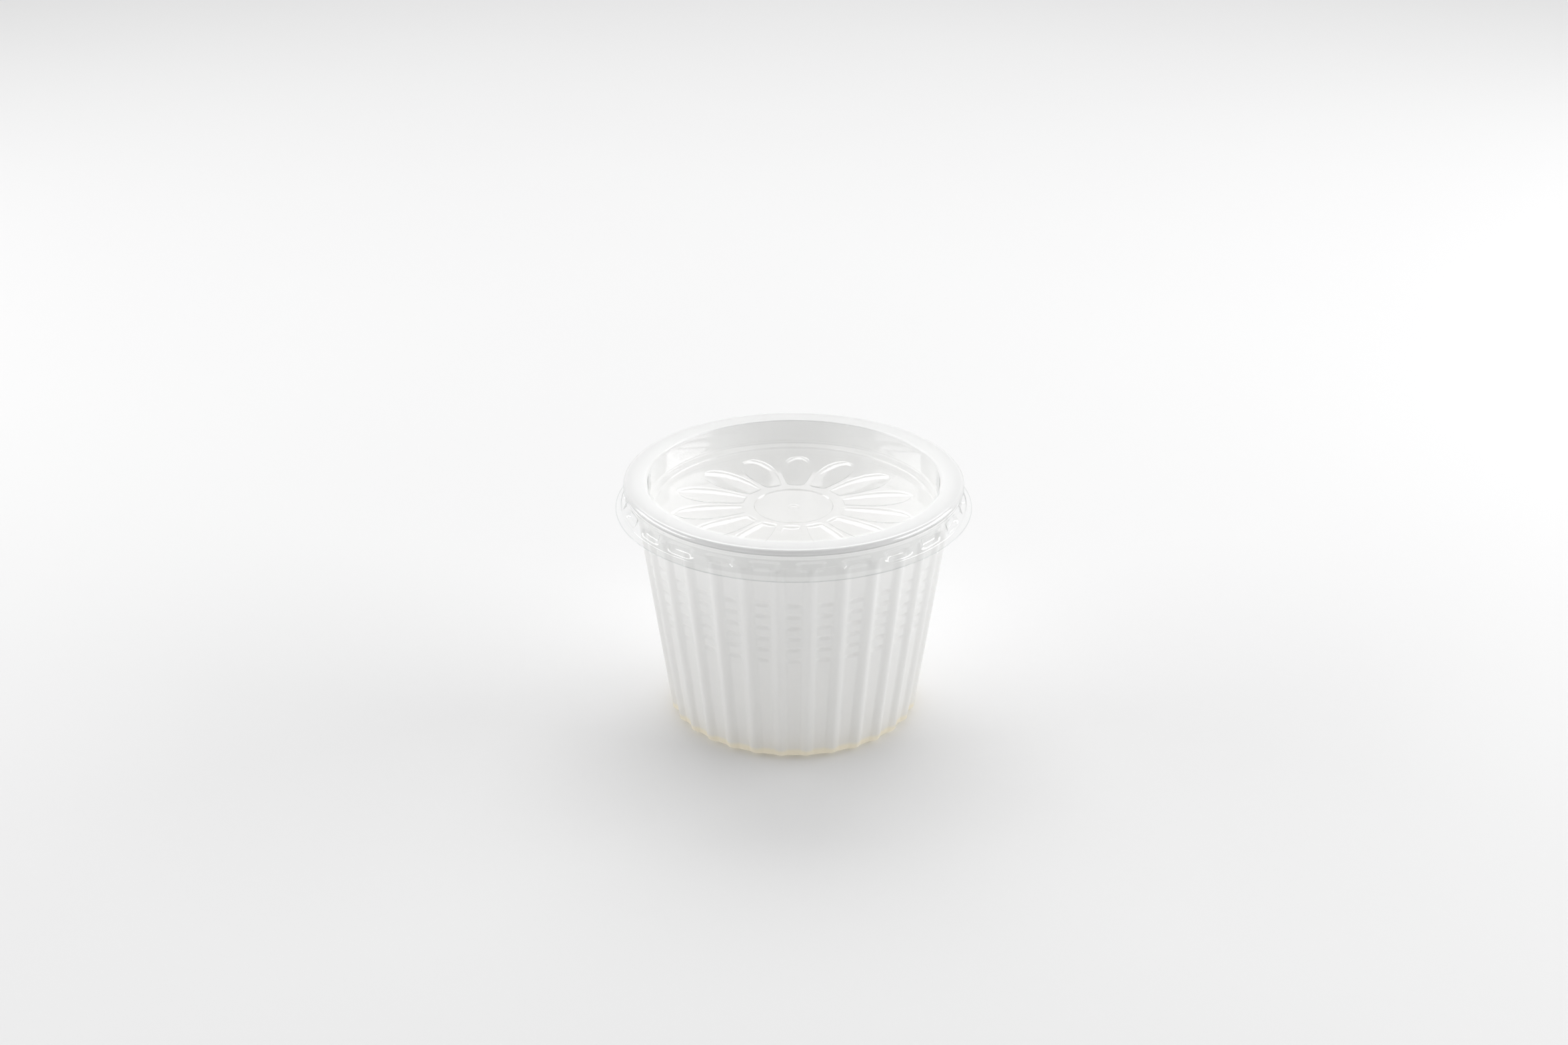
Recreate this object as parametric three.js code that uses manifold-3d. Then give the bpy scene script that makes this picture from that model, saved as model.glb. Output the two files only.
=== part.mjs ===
// A takeaway soup container: a ribbed cup of white foam with a clear lid snapped over its rim.
// Lengths are in millimetres and angles in degrees. +Z is up, and the origin is the centre of the underside.
// The front, which faces -Y, has a flat panel in its middle.
import * as THREE from "three";
import Module from "manifold-3d";

const wasm = await Module();
wasm.setup();

// Driving dimensions of the whole
const HEIGHT = 88.7;
const BEAD_RADIUS = 60.2;
const FILM = 0.35;
const CLEARANCE = 0.3;

// The foam cup
const RIB_COUNT = 30;
const RIB_HEIGHT = 1.1;
const RIB_HALF_WIDTH = 2.3;
const BASE_PANEL_RADIUS = 43.1;
const WALL_SLOPE = 0.146;
const WALL = 2.3;
const FOOT_RADIUS = 40.4;
const FOOT_INNER_RADIUS = 36;
const BASE_LIFT = 1.2;
const BASE_THICKNESS = 2.4;
const CORNER = 3;
const RIB_TOP = 78;
const COLLAR_FOOT = 79.8;
const COLLAR_RADIUS = 55.3;
const MOUTH_RADIUS = 52.4;
const MOUTH_FOOT = 77.5;
const RIM_THICKNESS = 1.9;
const CUP_COLUMNS = 90;
const FOOT_RIB_SHARE = 0.75;
const RIB_END_DROP = 0.5;
const RIB_END_STEP = 0.2;
const COLLAR_FLARE = 0.2;
const RIM_ROOT_DROP = 0.8;
const RIM_ROOT_WIDTH = 1;
const RIM_TURNS = [-90, -30, 30, 90];
const MOUTH_EDGE = 0.6;

// The small horizontal grooves pressed into the upper half of each panel
const GROOVE_ROWS = 6;
const LOWEST_GROOVE = 40;
const GROOVE_PITCH = 4.6;
const GROOVE_DEPTH = 0.45;
const GROOVE_HEIGHT = 2.6;
const GROOVE_VALLEY = 1.8;
const GROOVE_SHARE = 0.85;
const GROOVE_END = 0.15;
const FAN_ROW = 2;

// The clear lid
const BEAD_TUBE = 1.6;
const RECESS_RADIUS = 51.65;
const RECESS_FOOT_RADIUS = 51.3;
const RECESS_FOOT = 80.6;
const LEDGE_RADIUS = 50.5;
const PANEL_EDGE_RADIUS = 49.9;
const PANEL_LEVEL = 77.8;
const SKIRT_TOP = 84.4;
const SKIRT_TOP_RADIUS = 59.4;
const LIP_FOLD_RADIUS = 61.2;
const LIP_FOLD = 79.7;
const LIP_RADIUS = 63.2;
const LIP_LEVEL = 78.6;
const RING_COLUMNS = 72;
const LEDGE_RISE = 0.2;
const RECESS_EDGE_DROP = 0.5;
const RECESS_EDGE_WIDTH = 0.6;
const RECESS_EDGE_FALL = 0.1;
const BEAD_TURNS = [90, 45, 0, -50];
const LEAST_MITRE = 0.5;

// The lugs of the skirt, pressed inwards under the rim
const LUG_COUNT = 24;
const LUG_DEPTH = 1.1;
const LUG_HALF_ANGLE = 4.6;
const LUG_SLOPE_ANGLE = 1.2;
const LUG_TURN = -84.5;
const LUG_ROWS = [83.1, 81.5];

// The flower sunk into the lid's panel, and the plain disc in its middle
const PETAL_COUNT = 14;
const PETAL_DEPTH = 1.1;
const PETAL_HALF_WIDTH = 5.7;
const PETAL_ROOT_RADIUS = 5;
const PETAL_INNER_RADIUS = 17.6;
const PETAL_TIP_RADIUS = 42.6;
const PETAL_SLOPE = 0.9;
const PETAL_SWELL = 1.54;
const PETAL_POINT = 0.6;
const FLOWER_TURN = -2.7;
const PETAL_ROWS = [18.4, 25, 32, 38, 41.2];
const PETAL_TIP_SPREAD = 0.3;
const PETAL_LEAST_HALF_WIDTH = 0.1;
const PETAL_END_GAP = 0.6;
const DISC_COLUMNS = 42;
const DISC_RADIUS = 14.2;
const DISC_DEPTH = 0.7;
const DIMPLE_RADIUS = 2.2;
const DIMPLE_DEPTH = 0.5;

const CUP_COLOUR = 0xf2f2ef;
const LID_COLOUR = 0xf7f9fa;

const radians = (degrees) => (degrees * Math.PI) / 180;
const direction = (angle) => [Math.cos(radians(angle)), Math.sin(radians(angle))];

// Evenly spaced directions, in degrees, counted anticlockwise from +X.
const evenAngles = (count, start = 0) =>
  Array.from({ length: count }, (_, i) => start + (360 * i) / count);

// A closed skin grown from ring to ring, from a pole on the axis, outwards and round to the other pole.
class Skin {
  constructor() {
    this.points = [];
    this.faces = [];
    this.last = null;
  }

  // Adds a point and gives its number.
  point(x, y, z) {
    this.points.push(x, y, z);
    return this.points.length / 3 - 1;
  }

  quad(a, b, c, d) {
    this.faces.push(a, b, c, a, c, d);
  }

  #place(angles, place) {
    const numbers = angles.map((angle) => {
      const [radius, height] = place(angle);
      const [x, y] = direction(angle);
      return this.point(radius * x, radius * y, height);
    });
    return { first: numbers[0], angles };
  }

  // Adds a ring whose points stand at the given angles, and joins it to the ring before it.
  // place(angle) gives a point's distance from the axis and its height.
  ring(angles, place) {
    this.#join(this.#place(angles, place));
  }

  // Adds a ring with as many points as the one before it. cover(cell, corners) covers each cell between them.
  ringOfCells(angles, place, cover) {
    const from = this.last;
    this.last = this.#place(angles, place);
    this.#coverCells(from, this.last, cover);
  }

  // Adds a point on the axis, where the skin starts or ends.
  pole(height) {
    this.#join({ first: this.point(0, 0, height), angles: [null] });
  }

  // Joins the last ring to the next one: column to column where they have as many points.
  #join(next) {
    const from = this.last;
    this.last = next;
    if (!from) return;
    const alike = from.angles.length === next.angles.length;
    if (alike) this.#coverCells(from, next, (_, corners) => this.quad(...corners));
    else this.#coverBand(from, next);
  }

  #coverCells(from, next, cover) {
    next.angles.forEach((_, cell) => {
      const after = (cell + 1) % next.angles.length;
      cover(cell, [from.first + cell, from.first + after, next.first + after, next.first + cell]);
    });
  }

  // Covers the band between two rings of unlike counts, always stepping along the ring that is behind.
  #coverBand(from, next) {
    const start = from.angles[0] ?? next.angles[0];
    const lower = new Walk(from, start);
    const upper = new Walk(next, start);
    while (lower.left || upper.left) {
      if (lower.left && (!upper.left || lower.ahead() <= upper.ahead())) {
        this.faces.push(lower.here(), lower.step(), upper.here());
      } else {
        const behind = upper.here();
        this.faces.push(lower.here(), upper.step(), behind);
      }
    }
  }
}

// A walk once round a ring, from its point nearest to the start direction. A pole has no steps to take.
class Walk {
  constructor({ first, angles }, start) {
    this.first = first;
    this.angles = angles;
    this.isPole = angles[0] === null;
    this.left = this.isPole ? 0 : angles.length;
    const gaps = angles.map((angle) => angle - start - 360 * Math.round((angle - start) / 360));
    const sizes = gaps.map(Math.abs);
    this.at = sizes.indexOf(Math.min(...sizes));
    this.turned = start + gaps[this.at] - angles[this.at];
  }

  here() {
    return this.first + this.at;
  }

  // The direction of the next point, growing past a full turn.
  ahead() {
    const wraps = this.at + 1 === this.angles.length;
    return (wraps ? this.angles[0] + 360 : this.angles[this.at + 1]) + this.turned;
  }

  step() {
    this.at += 1;
    this.left -= 1;
    if (this.at === this.angles.length) {
      this.at = 0;
      this.turned += 360;
    }
    return this.here();
  }
}

function solidOf(skin) {
  const vertProperties = new Float32Array(skin.points);
  const triVerts = new Uint32Array(skin.faces);
  return new wasm.Manifold(new wasm.Mesh({ numProp: 3, vertProperties, triVerts }));
}

function meshOf(solid, name, material) {
  const made = solid.getMesh();
  const geometry = new THREE.BufferGeometry();
  geometry.setAttribute("position", new THREE.BufferAttribute(made.vertProperties, 3));
  geometry.setIndex(new THREE.BufferAttribute(made.triVerts, 1));
  geometry.computeVertexNormals();
  const mesh = new THREE.Mesh(geometry, material);
  mesh.name = name;
  return mesh;
}

// Cup

const ribPitch = 360 / RIB_COUNT;
const panelRadius = (height) => BASE_PANEL_RADIUS + WALL_SLOPE * height;

// A rib's height above the panels, as the square of a cosine across its width.
function ribHeight(angle, radius) {
  const fromRib = ((((angle - 90) % ribPitch) + ribPitch) % ribPitch) - ribPitch / 2;
  const across = (radians(fromRib) * radius) / RIB_HALF_WIDTH;
  return Math.abs(across) < 1 ? RIB_HEIGHT * Math.cos((across * Math.PI) / 2) ** 2 : 0;
}

// Columns on each rib's crest, flanks and feet. The panel between two ribs is flat.
function ribAngles(radius) {
  const foot = (RIB_HALF_WIDTH / radius) * (180 / Math.PI);
  const offsets = [-foot, -foot / 2, 0, foot / 2, foot];
  return evenAngles(RIB_COUNT, 90 + ribPitch / 2).flatMap((rib) => offsets.map((offset) => rib + offset));
}

// Where the points of a ribbed ring stand, with the ribs at a share of their full height.
function ribbed(radius, height, share, crestLimit = Infinity) {
  return (angle) => [Math.min(radius + share * ribHeight(angle, radius), crestLimit), height];
}

function ribbedRing(skin, radius, height, share, crestLimit) {
  skin.ring(ribAngles(radius), ribbed(radius, height, share, crestLimit));
}

// The tall band of the wall, plain on the ribs and grooved on the panels between them.
function groovedRing(skin, radius, height) {
  const angles = ribAngles(radius);
  const columns = angles.length / RIB_COUNT;
  skin.ringOfCells(angles, ribbed(radius, height, 1), (cell, corners) => {
    const isPanel = cell % columns === columns - 1;
    if (isPanel) groovedPanel(skin, corners, (angles[cell] + angles[cell - columns + 1] + ribPitch) / 2);
    else skin.quad(...corners);
  });
}

function roundRing(skin, radius, height) {
  skin.ring(evenAngles(CUP_COLUMNS, 90 + ribPitch / 2), () => [radius, height]);
}

// Covers a flat panel between two ribs, with its grooves: each is steep above and slopes out gently below.
// The corners run anticlockwise from the lower left one, seen from outside.
function groovedPanel(skin, [lowLeft, lowRight, highRight, highLeft], middle) {
  const outwards = direction(middle);
  const sideways = direction(middle + 90);
  const pointOf = (across, height, depth) => {
    const radius = panelRadius(height);
    const halfAngle = radians(ribPitch / 2) - RIB_HALF_WIDTH / radius;
    const side = across * GROOVE_SHARE * radius * Math.sin(halfAngle);
    const out = radius * Math.cos(halfAngle) - depth;
    const [x, y] = [0, 1].map((axis) => outwards[axis] * out + sideways[axis] * side);
    return skin.point(x, y, height);
  };
  const steps = Array.from({ length: GROOVE_ROWS }, (_, row) => LOWEST_GROOVE + row * GROOVE_PITCH);
  let [left, right] = [null, null];
  for (const [row, foot] of steps.entries()) {
    const low = [-1, 1].map((across) => pointOf(across, foot, 0));
    const valley = [-1, 1].map((across) =>
      pointOf(across * (1 - GROOVE_END), foot + GROOVE_VALLEY, GROOVE_DEPTH),
    );
    const high = [-1, 1].map((across) => pointOf(across, foot + GROOVE_HEIGHT, 0));
    skin.quad(...low, valley[1], valley[0]);
    skin.quad(...valley, high[1], high[0]);
    skin.faces.push(low[0], valley[0], high[0], low[1], high[1], valley[1]);
    // The flat stretch below this groove, and the sides beside both
    if (left === null) {
      skin.quad(lowLeft, lowRight, low[1], low[0]);
    } else {
      skin.quad(left, right, low[1], low[0]);
      skin.faces.push(sideCorner(row, lowLeft, highLeft), left, low[0]);
      skin.faces.push(sideCorner(row, lowRight, highRight), low[1], right);
    }
    skin.faces.push(sideCorner(row, lowLeft, highLeft), low[0], high[0]);
    skin.faces.push(sideCorner(row, lowRight, highRight), high[1], low[1]);
    if (row === FAN_ROW) {
      skin.faces.push(lowLeft, high[0], highLeft);
      skin.faces.push(lowRight, highRight, high[1]);
    }
    [left, right] = high;
  }
  skin.quad(left, right, highRight, highLeft);
}

// The sides of a panel fan out from its lower corners up to one groove, and from its upper corners above it.
function sideCorner(row, lower, upper) {
  return row <= FAN_ROW ? lower : upper;
}

function cupSolid() {
  const skin = new Skin();
  const corner = panelRadius(CORNER) - CORNER;
  const cornerSide = corner + CORNER * Math.SQRT1_2;
  const cornerRise = CORNER * (1 - Math.SQRT1_2);
  const tube = BEAD_TUBE - FILM - CLEARANCE;
  const rimCentre = BEAD_RADIUS - BEAD_TUBE;
  const rimTop = HEIGHT - FILM - CLEARANCE;
  const rimUnderside = rimTop - RIM_THICKNESS;
  const floor = BASE_LIFT + BASE_THICKNESS;
  const inner = (height) => panelRadius(height) - WALL;

  // Underside, with its centre lifted inside the foot
  skin.pole(BASE_LIFT);
  roundRing(skin, FOOT_INNER_RADIUS - BASE_LIFT, BASE_LIFT);
  roundRing(skin, FOOT_INNER_RADIUS, 0);
  roundRing(skin, FOOT_RADIUS, 0);
  // Ribbed wall, whose ribs start under the rounded corner and end below the collar
  ribbedRing(skin, cornerSide, cornerRise, FOOT_RIB_SHARE);
  ribbedRing(skin, panelRadius(CORNER), CORNER, 1);
  groovedRing(skin, panelRadius(RIB_TOP), RIB_TOP);
  ribbedRing(skin, panelRadius(COLLAR_FOOT) - RIB_END_STEP, COLLAR_FOOT - RIB_END_DROP, 1, COLLAR_RADIUS);
  // Collar and the rim that stands out over it
  roundRing(skin, COLLAR_RADIUS, COLLAR_FOOT);
  roundRing(skin, COLLAR_RADIUS + COLLAR_FLARE, rimUnderside - RIM_ROOT_DROP);
  roundRing(skin, COLLAR_RADIUS + RIM_ROOT_WIDTH, rimUnderside);
  for (const turn of RIM_TURNS) {
    const around = radians(turn);
    roundRing(skin, rimCentre + tube * Math.cos(around), rimTop - tube + tube * Math.sin(around));
  }
  // Mouth and inside
  roundRing(skin, MOUTH_RADIUS + MOUTH_EDGE, rimTop);
  roundRing(skin, MOUTH_RADIUS, rimTop - MOUTH_EDGE);
  roundRing(skin, MOUTH_RADIUS, MOUTH_FOOT);
  roundRing(skin, inner(floor + CORNER), floor + CORNER);
  roundRing(skin, inner(floor) - cornerRise, floor + cornerRise);
  roundRing(skin, inner(floor) - CORNER, floor);
  skin.pole(floor);
  return solidOf(skin);
}

// Lid

// A petal's half width at a distance from the axis: it swells from its root and closes to a point at its tip.
function petalHalfWidth(radius) {
  const along = (radius - PETAL_ROOT_RADIUS) / (PETAL_TIP_RADIUS - PETAL_ROOT_RADIUS);
  const widest = PETAL_SWELL / (PETAL_SWELL + PETAL_POINT);
  const shape = (t) => t ** PETAL_SWELL * (1 - t) ** PETAL_POINT;
  return along < 1 ? (PETAL_HALF_WIDTH * shape(along)) / shape(widest) : 0;
}

// Columns on each petal's middle and on the foot and top of both its sloping sides, and one between petals.
function petalAngles(radius) {
  const half = petalHalfWidth(radius);
  const slope = Math.min(PETAL_SLOPE, half + PETAL_TIP_SPREAD);
  const top = ((half + slope / 2) / radius) * (180 / Math.PI);
  const foot = (Math.max(half - slope / 2, PETAL_LEAST_HALF_WIDTH) / radius) * (180 / Math.PI);
  const offsets = [-top, -foot, 0, foot, top, 180 / PETAL_COUNT];
  return evenAngles(PETAL_COUNT, 90 + FLOWER_TURN + 180 / PETAL_COUNT).flatMap((petal) =>
    offsets.map((offset) => petal + offset),
  );
}

// How far the petals lie below the panel at a point.
function petalDepth(radius, angle) {
  if (radius <= PETAL_INNER_RADIUS) return 0;
  const pitch = 360 / PETAL_COUNT;
  const turned = angle - 90 - FLOWER_TURN;
  const fromMiddle = (((turned % pitch) + pitch) % pitch) - pitch / 2;
  const half = petalHalfWidth(radius);
  const inside = radians(Math.abs(fromMiddle)) * radius < half;
  return inside ? PETAL_DEPTH * Math.min(1, half / PETAL_SLOPE) : 0;
}

// Columns at the ends and on the flat of each lug.
function lugAngles() {
  const foot = LUG_HALF_ANGLE - LUG_SLOPE_ANGLE;
  const offsets = [-LUG_HALF_ANGLE, -foot, foot, LUG_HALF_ANGLE];
  return evenAngles(LUG_COUNT, LUG_TURN + 360).flatMap((lug) => offsets.map((offset) => lug + offset));
}

// How far a lug stands inwards at a direction.
function lugDepth(angle) {
  const pitch = 360 / LUG_COUNT;
  const turned = angle - LUG_TURN + pitch / 2;
  const fromMiddle = (((turned % pitch) + pitch) % pitch) - pitch / 2;
  return Math.abs(fromMiddle) < LUG_HALF_ANGLE - LUG_SLOPE_ANGLE / 2 ? LUG_DEPTH : 0;
}

// The rows of the lid's outer side from the centre to the lip: distance from the axis, height, the row's
// directions, and the relief that lowers it or draws it in.
function lidRows() {
  const rows = [];
  const add = (radius, height, angles, sink = null, draw = null) =>
    rows.push({ radius, height, angles, sink, draw });
  const disc = evenAngles(DISC_COLUMNS, 90 + FLOWER_TURN);
  const ring = evenAngles(RING_COLUMNS, 90);
  const rimCentre = BEAD_RADIUS - BEAD_TUBE;
  const beadLevel = HEIGHT - BEAD_TUBE;
  const skirtRadius = (height) =>
    SKIRT_TOP_RADIUS +
    ((SKIRT_TOP - height) / (SKIRT_TOP - LIP_FOLD)) * (LIP_FOLD_RADIUS - SKIRT_TOP_RADIUS);

  add(DIMPLE_RADIUS, PANEL_LEVEL - DISC_DEPTH, disc);
  add(DISC_RADIUS - DISC_DEPTH, PANEL_LEVEL - DISC_DEPTH, disc);
  add(DISC_RADIUS, PANEL_LEVEL, disc);
  add(PETAL_INNER_RADIUS, PANEL_LEVEL, petalAngles(PETAL_INNER_RADIUS));
  for (const radius of PETAL_ROWS) {
    add(radius, PANEL_LEVEL, petalAngles(radius), (angle) => petalDepth(radius, angle));
  }
  add(PETAL_TIP_RADIUS + PETAL_END_GAP, PANEL_LEVEL, petalAngles(PETAL_TIP_RADIUS));
  add(PANEL_EDGE_RADIUS, PANEL_LEVEL, ring);
  add(LEDGE_RADIUS, RECESS_FOOT - LEDGE_RISE, ring);
  add(RECESS_FOOT_RADIUS, RECESS_FOOT, ring);
  add(RECESS_RADIUS, HEIGHT - RECESS_EDGE_DROP, ring);
  add(RECESS_RADIUS + RECESS_EDGE_WIDTH, HEIGHT - RECESS_EDGE_FALL, ring);
  for (const turn of BEAD_TURNS) {
    const around = radians(turn);
    add(rimCentre + BEAD_TUBE * Math.cos(around), beadLevel + BEAD_TUBE * Math.sin(around), ring);
  }
  add(SKIRT_TOP_RADIUS, SKIRT_TOP, lugAngles());
  for (const height of LUG_ROWS) {
    add(skirtRadius(height), height, lugAngles(), null, lugDepth);
  }
  add(LIP_FOLD_RADIUS, LIP_FOLD, lugAngles());
  add(LIP_RADIUS, LIP_LEVEL, lugAngles());
  return rows;
}

// The film's underside at a row: the row moved square to the profile by the film's thickness.
function undersideOf(rows, index) {
  const before = rows[Math.max(index - 1, 0)];
  const here = rows[index];
  const after = rows[Math.min(index + 1, rows.length - 1)];
  const normal = (a, b) => {
    const along = new THREE.Vector2(b.radius - a.radius, b.height - a.height).normalize();
    return new THREE.Vector2(along.y, -along.x);
  };
  const sides = [
    [before, here],
    [here, after],
  ].filter(([a, b]) => a !== b);
  const mitre = sides.reduce((sum, [a, b]) => sum.add(normal(a, b)), new THREE.Vector2());
  mitre.normalize();
  const stretch = FILM / Math.max(mitre.dot(normal(...sides[0])), LEAST_MITRE);
  return { ...here, radius: here.radius + mitre.x * stretch, height: here.height + mitre.y * stretch };
}

function lidSolid() {
  const skin = new Skin();
  const rows = lidRows();
  const dimpleLevel = PANEL_LEVEL - DISC_DEPTH - DIMPLE_DEPTH;
  const addRow = ({ radius, height, angles, sink, draw }) =>
    skin.ring(angles, (angle) => [
      radius - (draw ? draw(angle) : 0),
      height - (sink ? sink(angle) : 0),
    ]);
  skin.pole(dimpleLevel - FILM);
  rows.forEach((_, index) => addRow(undersideOf(rows, index)));
  rows.toReversed().forEach(addRow);
  skin.pole(dimpleLevel);
  return solidOf(skin);
}

const foam = new THREE.MeshStandardMaterial({ color: CUP_COLOUR, roughness: 0.75, metalness: 0 });
const clearFilm = new THREE.MeshStandardMaterial({
  color: LID_COLOUR,
  roughness: 0.08,
  metalness: 0,
  transparent: true,
  opacity: 0.35,
});

const container = new THREE.Group();
container.add(meshOf(cupSolid(), "cup", foam));
container.add(meshOf(lidSolid(), "lid", clearFilm));

export default container;
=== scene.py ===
"""A takeaway soup container: a ribbed cup of white foam, closed with a clear lid.

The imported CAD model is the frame. The cup and the lid are replaced by finer surfaces of the same main
sizes, given their finishes, and stood on a pale floor under soft light.
"""

import logging
import math
from dataclasses import dataclass
from enum import Enum

import bpy
import numpy as np
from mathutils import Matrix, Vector
from numpy.typing import NDArray


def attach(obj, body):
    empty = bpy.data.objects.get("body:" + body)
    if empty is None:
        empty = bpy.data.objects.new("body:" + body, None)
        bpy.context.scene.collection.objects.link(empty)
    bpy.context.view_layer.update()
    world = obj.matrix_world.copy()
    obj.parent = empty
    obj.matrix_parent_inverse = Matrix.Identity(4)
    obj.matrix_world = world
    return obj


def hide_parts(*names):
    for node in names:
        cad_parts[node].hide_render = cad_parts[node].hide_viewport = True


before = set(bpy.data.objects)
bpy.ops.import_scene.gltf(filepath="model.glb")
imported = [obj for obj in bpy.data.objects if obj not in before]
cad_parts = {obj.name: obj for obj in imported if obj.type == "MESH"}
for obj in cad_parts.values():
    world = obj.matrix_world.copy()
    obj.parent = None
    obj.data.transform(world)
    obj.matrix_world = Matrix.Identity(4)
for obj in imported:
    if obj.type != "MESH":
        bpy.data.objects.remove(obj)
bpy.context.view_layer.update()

log = logging.getLogger("soup_container")

Array = NDArray[np.float64]
Colour = tuple[float, float, float, float]
Pair = tuple[float, float]
Socket = bpy.types.NodeSocket
Fed = Socket | float | tuple[float, ...] | Vector
Inputs = dict[str | int, Fed]

MILLIMETRE = 0.001
TINY = 1e-9

# Sizes that the cup and the lid share, in millimetres
HEIGHT = 88.7
BEAD_RADIUS = 60.2
BEAD_TUBE = 1.6
FILM = 0.2
GRIP_GAP = 0.02

# How far the cup's wall widens over its height, for its shape and its finish
WALL_SLOPE = 0.146


def smooth_step(value: Array) -> Array:
    """Goes from 0 to 1 as the value does, level at both ends: 3 t squared minus 2 t cubed."""
    t = np.clip(value, 0.0, 1.0)
    return t * t * (3.0 - 2.0 * t)


def from_nearest(angle: Array, centre: float, pitch: float) -> Array:
    """The signed angle from the nearest of the evenly spaced features, in degrees."""
    return np.mod(angle - centre + pitch / 2, pitch) - pitch / 2


@dataclass(frozen=True)
class Corner:
    """A corner of a profile, in millimetres.

    radius and height place it, fillet is the radius that rounds it, steps is how many steps the rounding
    takes, and run is how many steps the straight stretch before it takes.
    """

    radius: float
    height: float
    fillet: float = 0.0
    steps: int = 6
    run: int = 4


def rounded(before: Array, corner: Corner, after: Array) -> Array:
    """Rounds one corner of a profile.

    The arc touches both straight stretches. Its centre lies on the line that halves the angle between
    them, and its points are evenly spread in angle.

    Args:
        before: the profile's corner before this one.
        corner: the corner to round.
        after: the profile's corner after it.

    Returns:
        The points of the arc, one row each.
    """
    here = np.array([corner.radius, corner.height])
    if corner.fillet <= 0:
        return here[None, :]
    back = (before - here) / np.linalg.norm(before - here)
    on = (after - here) / np.linalg.norm(after - here)
    half = math.acos(float(np.clip(back @ on, -1.0, 1.0))) / 2
    reach = corner.fillet / math.tan(half)
    middle = (back + on) / np.linalg.norm(back + on)
    centre = here + middle * corner.fillet / math.sin(half)
    start = here + back * reach - centre
    end = here + on * reach - centre
    first = math.atan2(start[1], start[0])
    turn = math.remainder(math.atan2(end[1], end[0]) - first, 2 * math.pi)
    angles = first + turn * np.linspace(0.0, 1.0, corner.steps + 1)
    return centre + corner.fillet * np.stack([np.cos(angles), np.sin(angles)], axis=1)


def profile(corners: list[Corner]) -> Array:
    """Draws a profile through its corners.

    Each corner becomes an arc, and straight stretches between arcs are cut into even steps.

    Args:
        corners: the corners in order. The first and the last are kept sharp.

    Returns:
        The distance from the axis and the height of each point, one row each.
    """
    places = [np.array([corner.radius, corner.height]) for corner in corners]
    parts = [places[0][None, :]]
    for index, corner in enumerate(corners[1:], start=1):
        is_last = index + 1 == len(corners)
        arc = places[index][None, :] if is_last else rounded(places[index - 1], corner, places[index + 1])
        share = np.linspace(0.0, 1.0, corner.run + 1)[1:-1, None]
        parts.append(parts[-1][-1] * (1 - share) + arc[0] * share)
        parts.append(arc)
    return np.concatenate([part for part in parts if len(part)])


def turned(radius: Array, angle: Array, height: Array) -> Array:
    """Places points round the axis: the distance times the cosine, times the sine, and the height.

    Args:
        radius: distances from the axis, one a row or one a point.
        angle: direction of each point in degrees.
        height: heights, one a row or one a point.

    Returns:
        The points, rows by columns by three.
    """
    around = np.radians(angle)
    level = np.broadcast_to(height, around.shape)
    return np.stack([radius * np.cos(around), radius * np.sin(around), level], axis=-1)


def grid_normals(points: Array) -> Array:
    """Normals of a grid whose columns go round the axis.

    Each is the cross product of the step to the next column and the step to the next row, taken as
    differences across the point, and made one unit long.

    Args:
        points: rows by columns by three.

    Returns:
        The normals in the same layout.
    """
    around = np.roll(points, -1, axis=1) - np.roll(points, 1, axis=1)
    along = np.gradient(points, axis=0)
    normals = np.cross(around, along)
    return normals / np.maximum(np.linalg.norm(normals, axis=2, keepdims=True), TINY)


def skin_between_poles(name: str, points: Array, start: float, end: float) -> bpy.types.Object:
    """Makes a closed mesh from a grid of rings, with a point on the axis before and after it.

    Cells join each ring to the next one, and triangles join the first and the last ring to the poles.
    Rows run so that the column step crossed with the row step points out of the solid.

    Args:
        name: the object's name.
        points: rows by columns by three, in millimetres.
        start: height of the pole before the first ring.
        end: height of the pole after the last ring.

    Returns:
        The new object, in metres, linked to the scene.
    """
    rows, columns, _ = points.shape
    numbers = np.arange(rows * columns).reshape(rows, columns)
    after = np.roll(numbers, -1, axis=1)
    quads = np.stack([numbers[:-1], after[:-1], after[1:], numbers[1:]], axis=-1).reshape(-1, 4)
    low = np.full(columns, rows * columns)
    first = np.stack([low, after[0], numbers[0]], axis=-1)
    last = np.stack([numbers[-1], after[-1], low + 1], axis=-1)
    poles = np.array([[0.0, 0.0, start], [0.0, 0.0, end]])
    places = np.concatenate([points.reshape(-1, 3), poles]) * MILLIMETRE
    mesh = bpy.data.meshes.new(name)
    mesh.from_pydata(places.tolist(), [], quads.tolist() + first.tolist() + last.tolist())
    mesh.update()
    mesh.shade_smooth()
    piece = bpy.data.objects.new(name, mesh)
    bpy.context.scene.collection.objects.link(piece)
    return piece


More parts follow.
